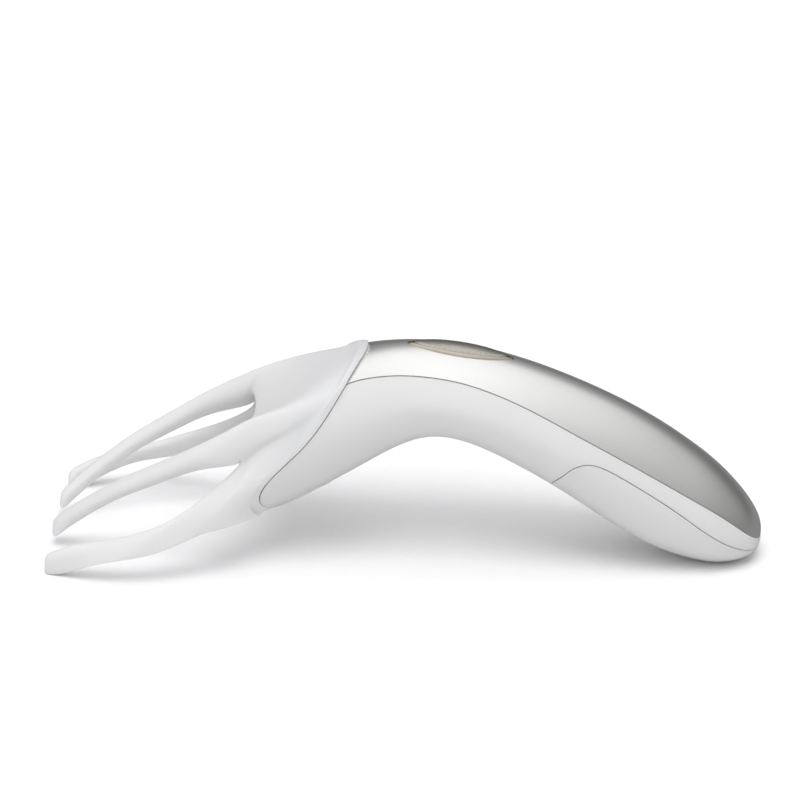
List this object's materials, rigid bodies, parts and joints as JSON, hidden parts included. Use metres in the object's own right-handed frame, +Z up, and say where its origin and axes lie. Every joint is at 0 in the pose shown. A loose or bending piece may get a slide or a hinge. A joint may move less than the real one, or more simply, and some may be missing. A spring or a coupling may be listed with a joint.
{
  "type": "massage comb",
  "caption": "Hand-held vibrating scalp massage comb: arched two-tone handle with a push button and a sliding battery door, and a soft forked head of spread prongs.",
  "frame": {"origin": "centre of the bounding box in X and Y, on the surface that the comb stands on", "axes": "+X along the object from the prong tips to the tail, +Z up, +Y across"},
  "size_m": [0.214, 0.0738, 0.0673],
  "materials": {
    "silver_paint": "metallic silver paint over moulded ABS, satin gloss",
    "white_abs": "injection-moulded, smooth",
    "milky_elastomer": "moulded, translucent, semi-matt",
    "button_paint": "metallic grey paint over moulded ABS",
    "bezel_chrome": "bright plated",
    "plated_steel": "nickel plated",
    "brass": "turned",
    "circuit_board": "solder mask over glass laminate",
    "black_plastic": "moulded",
    "cell_jacket": "printed film jacket without print",
    "red_insulation": "extruded"
  },
  "bodies": {
    "handle": {"massage_head": "milky_elastomer", "head_carrier": "white_abs", "top_shell": "silver_paint", "lower_housing": "white_abs", "button_bezel": "bezel_chrome", "circuit_board": "circuit_board", "switch_body": "black_plastic", "control_chip": "black_plastic", "motor_capacitor": "cell_jacket", "motor_can": "plated_steel", "motor_end_cap": "white_abs", "cell_left": "cell_jacket", "cell_right": "cell_jacket", "battery_tray": "white_abs", "positive_plate": "plated_steel", "negative_plate": "plated_steel", "bridge_plate": "plated_steel", "negative_spring": "plated_steel", "bridge_spring": "plated_steel", "board_screw_front": "plated_steel", "board_screw_rear": "plated_steel", "tray_screw_front": "plated_steel", "tray_screw_rear": "plated_steel", "housing_screw": "plated_steel", "motor_lead_red": "red_insulation", "motor_lead_black": "black_plastic", "battery_lead_red": "red_insulation", "battery_lead_black": "black_plastic"},
    "button": {"button_cap": "button_paint", "switch_plunger": "black_plastic"},
    "rotor": {"motor_shaft": "plated_steel", "eccentric_weight": "brass"},
    "door": {"battery_door": "white_abs"}
  },
  "joints": [
    {"name": "button_press", "type": "slide", "parent": "handle", "child": "button", "axis": [-0.1271, 0, -0.9919], "range_m": [0, 0.0005], "stiffness_N_per_m": 600, "springref_m": -0.001},
    {"name": "weight_spin", "type": "hinge", "parent": "handle", "child": "rotor", "pos_m": [-0.00984, 0, 0.04505], "axis": [0.9336, 0, 0.3584], "continuous": true},
    {"name": "door_slide", "type": "slide", "parent": "handle", "child": "door", "axis": [0.766, 0, -0.6428], "range_m": [0, 0.055]}
  ]
}
